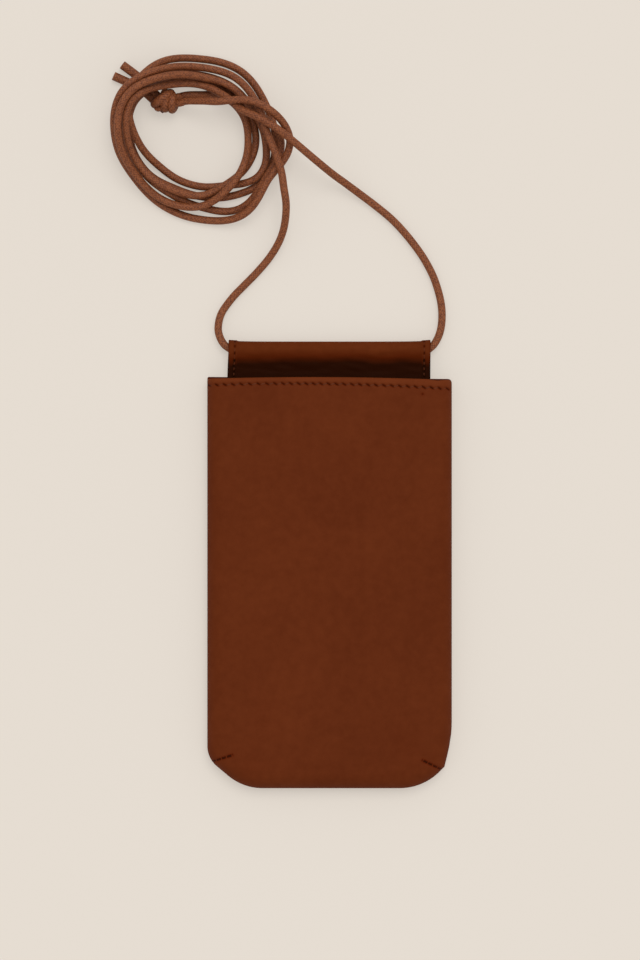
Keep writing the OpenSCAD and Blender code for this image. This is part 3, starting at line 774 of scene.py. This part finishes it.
def front_layer(bm, inner):
    """One face of the front's leather, from the seam to the middle of the lip's
    fold, with painted shade in its holes and darts and along its edges, and a
    painted highlight below the lip. Its inner face is one layer further in, and
    two in the hem."""
    painted_shade = bm.verts.layers.float.get("painted_shade") or bm.verts.layers.float.new("painted_shade")
    last = len(EDGE_IN) - 1
    columns = 2 * (COLUMNS + last)
    rows = last + len(front_ys) + len(LIP_TURN) - 2
    new = bmesh.ops.create_grid(bm, x_segments=columns, y_segments=rows, size=0.5)["verts"]
    for vert in new:
        j = round(vert.co.x * columns)
        i = round((vert.co.y + 0.5) * rows) - last
        curl = max(0, -i, abs(j) - COLUMNS)
        turn = LIP_TURN[max(0, i - len(front_ys) + 1)]
        y = front_ys[max(0, min(i, len(front_ys) - 1))]
        hem = max(0, (y - (MOUTH - HEM)) / HEM)
        inset, inset_at = 0, EDGE_IN[curl]
        if inner:
            inset = LEATHER * (1 + min(1, max(0, (y - (MOUTH - HEM)) / HEM_STEP)))
            inside = inset * (1 - curl / last) + EDGE_IN[last] * curl / last
            inset_at += (inside - inset_at) * (1 - turn / 90)
        at = BOTTOM + inset_at + (y - BOTTOM) / (MOUTH - BOTTOM) * (MOUTH - BOTTOM - inset_at)
        side = -1 if j < 0 else 1
        out = 1 - (1 - min(1, abs(j) / COLUMNS)) ** SIDE_CROWD
        x = side * half_wide(at, inset_at, side) * out
        if curl:
            z = SEAM_Z + (0 if inner else EDGE_UP[curl])
            # Painted shade where the edge curls under to the seam
            dark = 0.35
        else:
            z = front_height(x, at, inset)
            # Painted shade along the edge
            dark = 0.25 * max(0, 1 - from_edge(x, at, inset)) ** 2
            if not inner:
                dip, hole = front_dips(x, at + (lip(x) - MOUTH) * hem)
                z -= dip
                dark = min(1, dark + hole)
        if turn:
            a = math.radians(turn)
            mid = front_height(x, at, 0) - LEATHER
            z = mid + LEATHER * math.cos(a) * (-1 if inner else 1)
            at += LEATHER * math.sin(a)
        vert.co = Vector((x, at + (lip(x) - MOUTH) * hem, z)) * MM
        vert[painted_shade] = dark
    if inner:
        bmesh.ops.reverse_faces(bm, faces=list({f for v in new for f in v.link_faces}))


bm = bmesh.new()
front_layer(bm, False)
front_layer(bm, True)
bmesh.ops.remove_doubles(bm, verts=bm.verts, dist=0.01 * MM)
bmesh.ops.holes_fill(bm, edges=[e for e in bm.edges if e.is_boundary], sides=0)
cut_leather(bm, ring, SEAM_Z, SEAM_Z + LEATHER, 0.4)
front = finished("front_leather", bm, panel_calf)
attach(front, "pouch")
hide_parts("front_panel")


# The tab: a strip of the same leather, 1.1 mm thick, folded over the cord. Both
# its leaves are sewn into the back of the mouth, and its two ends are hemmed.
# It is soft: it creases across where it bends down from the cord.
TAB_THICK = 1.1
TAB_COLUMNS = 228
# The fold from the side, from the front leaf's foot over the cord to the back
# leaf's foot: how high on the pouch, and how high over the floor
TAB_FOLD = [
    (75.65, 3.7), (78, 3.7), (80.5, 3.7), (83, 3.72), (85.2, 3.8), (87.2, 4.05), (89.1, 4.5),
    (91, 5.2), (92.8, 5.95), (94.6, 6.5), (96.3, 6.74), (97.8, 6.66), (99.1, 6.05),
    (100, 4.95), (100.35, 3.6), (100.1, 2.2), (99.3, 1.05), (98, 0.45), (96.3, 0.33),
    (94, 0.47), (91.5, 0.72), (89, 1.05), (86.5, 1.36), (84, 1.46), (80, 1.46), (75.65, 1.46)]
# The hemmed ends are thicker from here out, and a row of stitches runs along each
TAB_HEM = 41.1
TAB_STITCH_X = 42.5
TAB_HOLES = [84.1, 86.6, 89, 91.6, 94.8, 97.9, 100.2]
# The cut edges are the ones outside of this, and below this
CUT_X = 44.8
CUT_Y = 75.8
# The front leaf creases between these heights. Shade is painted on it where it
# goes down into the mouth, from this height down and over this length.
CREASE_LOW, CREASE_HIGH = 84, 96.5
PAINTED_SHADE_TOP, PAINTED_SHADE_LONG = 96.9, 6.5

tab_line = smooth_line([(0, y, z) for y, z in TAB_FOLD], 0.35)


def tab_out(i):
    """The way out of the fold at a place of its line."""
    ahead = tab_line[min(len(tab_line) - 1, i + 1)] - tab_line[max(0, i - 1)]
    return Vector((0, -ahead.z, ahead.y)).normalized()


def tab_flare(x, y):
    """The tab widens a little towards the mouth on its left."""
    return x + 0.6 * min(0, x / TAB_HALF) * ease((100 - y) / 16)


def tab_place(x, i):
    """A place on the outer face of the fold, and how dark the leather is drawn
    there: painted shade towards the mouth and in the stitch holes, and darker
    along its cut ends.
    """
    p = tab_line[i].copy()
    front_leaf = i < len(tab_line) / 2
    share = x / TAB_HALF
    creased = 0
    if front_leaf:
        creased = ease((p.y - CREASE_LOW) / 3) * ease((CREASE_HIGH - p.y) / 3)
    sway = noise.noise(Vector((x / 13, 3.7, 0))) + 0.5 * noise.noise(Vector((x / 6, 9.1, 0)))
    fold = noise.noise(Vector((x / 7 + p.y / 9, p.y / 2.6, 2.2)))
    rim = ease((abs(x) - TAB_HEM) / 0.7)
    out = 0.3 * rim + creased * (0.28 * fold + 0.3 * sway) * (1 - 0.7 * rim)
    dark = 0.0
    if front_leaf:
        ends = 0.9 * share ** 4 + 1.2 * rim
        # Painted shade: the front leaf darkens down into the mouth, where it bends away from the
        # light under the lip
        dark = 0.97 * max(0, min(1, (PAINTED_SHADE_TOP + 1.1 * sway - ends - p.y) / PAINTED_SHADE_LONG))
        # Painted shade in each stitch hole
        for y in TAB_HOLES:
            near = math.exp(-((abs(x) - TAB_STITCH_X) / 0.42) ** 2 - ((p.y - y) / 0.75) ** 2)
            out -= 0.5 * near
            dark += 0.9 * near
        out -= 0.12 * math.exp(-((abs(x) - TAB_STITCH_X) / 0.7) ** 2)
    p += tab_out(i) * out
    p.x = tab_flare(x, p.y)
    p.y -= (0.15 - 0.5 * share ** 8) * ease((p.y - 90) / 8)
    return p, min(1, dark + 0.35 * ease((abs(x) - 44.5) / 0.7))


bm = bmesh.new()
painted_shade = bm.verts.layers.float.new("painted_shade")
steps = len(tab_line) - 1
new = bmesh.ops.create_grid(bm, x_segments=TAB_COLUMNS, y_segments=steps, size=0.5)["verts"]
for vert in new:
    p, vert[painted_shade] = tab_place(2 * vert.co.x * TAB_HALF, round((vert.co.y + 0.5) * steps))
    vert.co = p * MM
bm.normal_update()
bmesh.ops.solidify(bm, geom=bm.faces[:], thickness=TAB_THICK * MM)
cut = [e for e in bm.edges if e.calc_face_angle(0) > 1.2
       and all(abs(v.co.x) > CUT_X * MM or v.co.y < CUT_Y * MM for v in e.verts)]
bmesh.ops.bevel(bm, geom=cut, offset=0.25 * MM, affect="EDGES", segments=2, profile=0.5,
                material=-1, clamp_overlap=False)
# Its two darker colours are painted shade
tab_calf = calf_leather("calf_leather_dyed_soft_folded", light="#642B0D", deep="#5A2509",
                        half_shade="#501A01", painted_shade="#250B00", painted_highlight="#86421F")
tab = finished("tab_leather", bm, tab_calf)
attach(tab, "tab")
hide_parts("hanger_tab")


# The thread: waxed polyester, up to 0.6 mm thick and dyed like the leather. It
# lies in short grains, each of which dips into its holes at both ends.
THREAD = 0.6
FINE_THREAD = 0.45

# Twisted polyester, waxed. Its plies show as fine light and dark flecks.
waxed_thread = bpy.data.materials.new("waxed_polyester_thread_twisted")
waxed_thread.use_nodes = True
tree = waxed_thread.node_tree
shader = tree.nodes["Principled BSDF"]
place = add(tree, "TexCoord")
plies = add(tree, "TexNoise", {"Vector": place.outputs["Object"], "Scale": 1 / (0.5 * MM),
                               "Detail": 1})
base_tone = add(tree, "Mix", {0: plies.outputs["Fac"], 6: linear("#411B0B"), 7: linear("#6E371D")},
          data_type="RGBA")
twist = add(tree, "Bump", {"Height": plies.outputs["Fac"], "Strength": 0.4,
                           "Distance": 0.1 * MM})
tree.links.new(base_tone.outputs[2], shader.inputs["Base Color"])
tree.links.new(twist.outputs[0], shader.inputs["Normal"])
shader.inputs["Roughness"].default_value = 0.55
shader.inputs["Specular IOR Level"].default_value = 0.1


def sew(bm, start, end, up, thick=THREAD):
    """One stitch from hole to hole, a grain of thread that lies along them."""
    along = (end - start).normalized()
    side = up.cross(along).normalized()
    lift = along.cross(side)
    turn = Matrix((side, lift, along)).transposed().to_4x4()
    size = Matrix.Diagonal((thick / 2, thick / 2, (end - start).length / 2, 1 / MM)) * MM
    bmesh.ops.create_uvsphere(bm, u_segments=8, v_segments=8, radius=1,
                              matrix=Matrix.Translation((start + end) / 2 * MM) @ turn @ size)


def front_place(x, y, sunk):
    """A place on the front's leather, sunk by a depth."""
    return Vector((x, y, front_height(x, y, 0) - sunk))


# The hem's row: 30 stitches from side to side of the mouth. Each leans a little
# in its slanting slit and lies 0.34 mm deep in the leather.
STITCH_DEEP = 0.34
bm = bmesh.new()
for i in range(HEM_STITCHES):
    left, right = hole_at(i - HEM_STITCHES / 2), hole_at(i + 1 - HEM_STITCHES / 2)
    x, half = (left + right) / 2, 0.3 * (right - left)
    ends = [front_place(x + s * half, hem_row(x + s * half) + s * 0.4, STITCH_DEEP)
            for s in (-1, 1)]
    sew(bm, *ends, Vector((0, 0, 1)))
hem_thread = finished("hem_thread", bm, waxed_thread)
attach(hem_thread, "pouch")
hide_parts("hem_stitches")

# The darts' threads: four fine stitches pull each bottom corner together. They
# lie deep in the fold, less so towards its upper end.
for side in (-1, 1):
    bm = bmesh.new()
    start_x, start_y, turn, long = DARTS[side]
    way = Vector((-side * math.cos(math.radians(turn)), math.sin(math.radians(turn))))
    for k in range(DART_STITCHES):
        middle = Vector((start_x, start_y)) + way * long * (k + 0.5) / (1.1 * DART_STITCHES)
        ends = [middle + way * s * long / DART_STITCHES * 0.34 for s in (-1, 1)]
        sew(bm, *[front_place(e.x, e.y, 0.85 - 0.08 * k) for e in ends],
            Vector((0, 0, 1)), thick=FINE_THREAD)
    end = "left" if side < 0 else "right"
    dart_thread = finished("dart_thread_" + end, bm, waxed_thread)
    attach(dart_thread, "pouch")
    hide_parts("dart_stitches_" + end)

# The tab's edge threads: six fine stitches along each of its hemmed ends, on the
# leaf that shows, up to the top of the fold.
for side in (-1, 1):
    bm = bmesh.new()
    for low, high in zip(TAB_HOLES, TAB_HOLES[1:]):
        ends = []
        for y in (low + 0.6, high - 0.6):
            i = min(range(len(tab_line) // 2), key=lambda k: abs(tab_line[k].y - y))
            p = tab_line[i] + tab_out(i) * 0.05
            p.x = tab_flare(side * TAB_STITCH_X, p.y)
            ends.append(p)
        sew(bm, *ends, tab_out(i), thick=FINE_THREAD)
    end = "left" if side < 0 else "right"
    edge_thread = finished("tab_thread_" + end, bm, waxed_thread)
    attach(edge_thread, "tab")
    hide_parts("tab_edge_stitches_" + end)

# The row that holds the tab: 24 stitches through both its leaves and the back,
# which show on the pouch's back in a shallow groove.
TAB_SEAM_STITCHES = 24
bm = bmesh.new()
for i in range(TAB_SEAM_STITCHES):
    x = (i - (TAB_SEAM_STITCHES - 1) / 2) * STITCH_PITCH
    ends = [Vector((x + s * 0.42 * STITCH_PITCH, TAB_SEAM, 0.3)) for s in (-1, 1)]
    sew(bm, *ends, Vector((0, 0, -1)), thick=0.55)
seam_thread = finished("tab_seam_thread", bm, waxed_thread)
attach(seam_thread, "pouch")
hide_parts("tab_seam_stitches")

# The hidden seam: it holds the turned edges of the front and the back together,
# inside, round three sides. The CAD's own stitches stay, in the same thread.
hidden_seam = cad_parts["side_seam_stitches"]
hidden_seam.data.materials.clear()
hidden_seam.data.materials.append(waxed_thread)


# The floor and the light: a plain pale surface under soft studio light, which
# comes mostly from above and a little from the top of the photograph.
FLOOR_HALF = 3
FLOOR_PLAIN = 0.55
SKY_LIGHT = 0.72
LAMP_LIGHT = 0.98
LAMP_WIDE = 35
LAMP_FROM = Vector((0.15, 0.5, 1))

# Matt paper, dyed warm white. A little over half of what the camera sees of it
# is its plain colour, so that the shadows on it stay as faint as under the
# studio's many lamps.
paper = bpy.data.materials.new("matt_paper_backdrop")
paper.use_nodes = True
shader = paper.node_tree.nodes["Principled BSDF"]
shader.inputs["Base Color"].default_value = linear("#E6DDD2")
shader.inputs["Roughness"].default_value = 1
shader.inputs["Specular IOR Level"].default_value = 0
tree = paper.node_tree
rays = add(tree, "LightPath")
plain = add(tree, "Emission", {"Color": linear("#E6DDD2"), "Strength": 1})
part = add(tree, "Math", {0: rays.outputs["Is Camera Ray"], 1: FLOOR_PLAIN},
           operation="MULTIPLY")
seen = add(tree, "MixShader", {0: part.outputs[0], 1: shader.outputs[0], 2: plain.outputs[0]})
tree.links.new(seen.outputs[0], tree.nodes["Material Output"].inputs["Surface"])
bm = bmesh.new()
bmesh.ops.create_grid(bm, x_segments=1, y_segments=1, size=FLOOR_HALF)
floor = finished("floor", bm, paper)

world = bpy.data.worlds.new("studio")
bpy.context.scene.world = world
world.use_nodes = True
world.node_tree.nodes["Background"].inputs["Color"].default_value = (1, 1, 1, 1)
world.node_tree.nodes["Background"].inputs["Strength"].default_value = SKY_LIGHT
lamp = bpy.data.objects.new("softbox", bpy.data.lights.new("softbox", "SUN"))
bpy.context.scene.collection.objects.link(lamp)
lamp.data.angle = math.radians(LAMP_WIDE)
lamp.data.energy = LAMP_LIGHT
lamp.rotation_euler = (-LAMP_FROM).to_track_quat("-Z", "Y").to_euler()
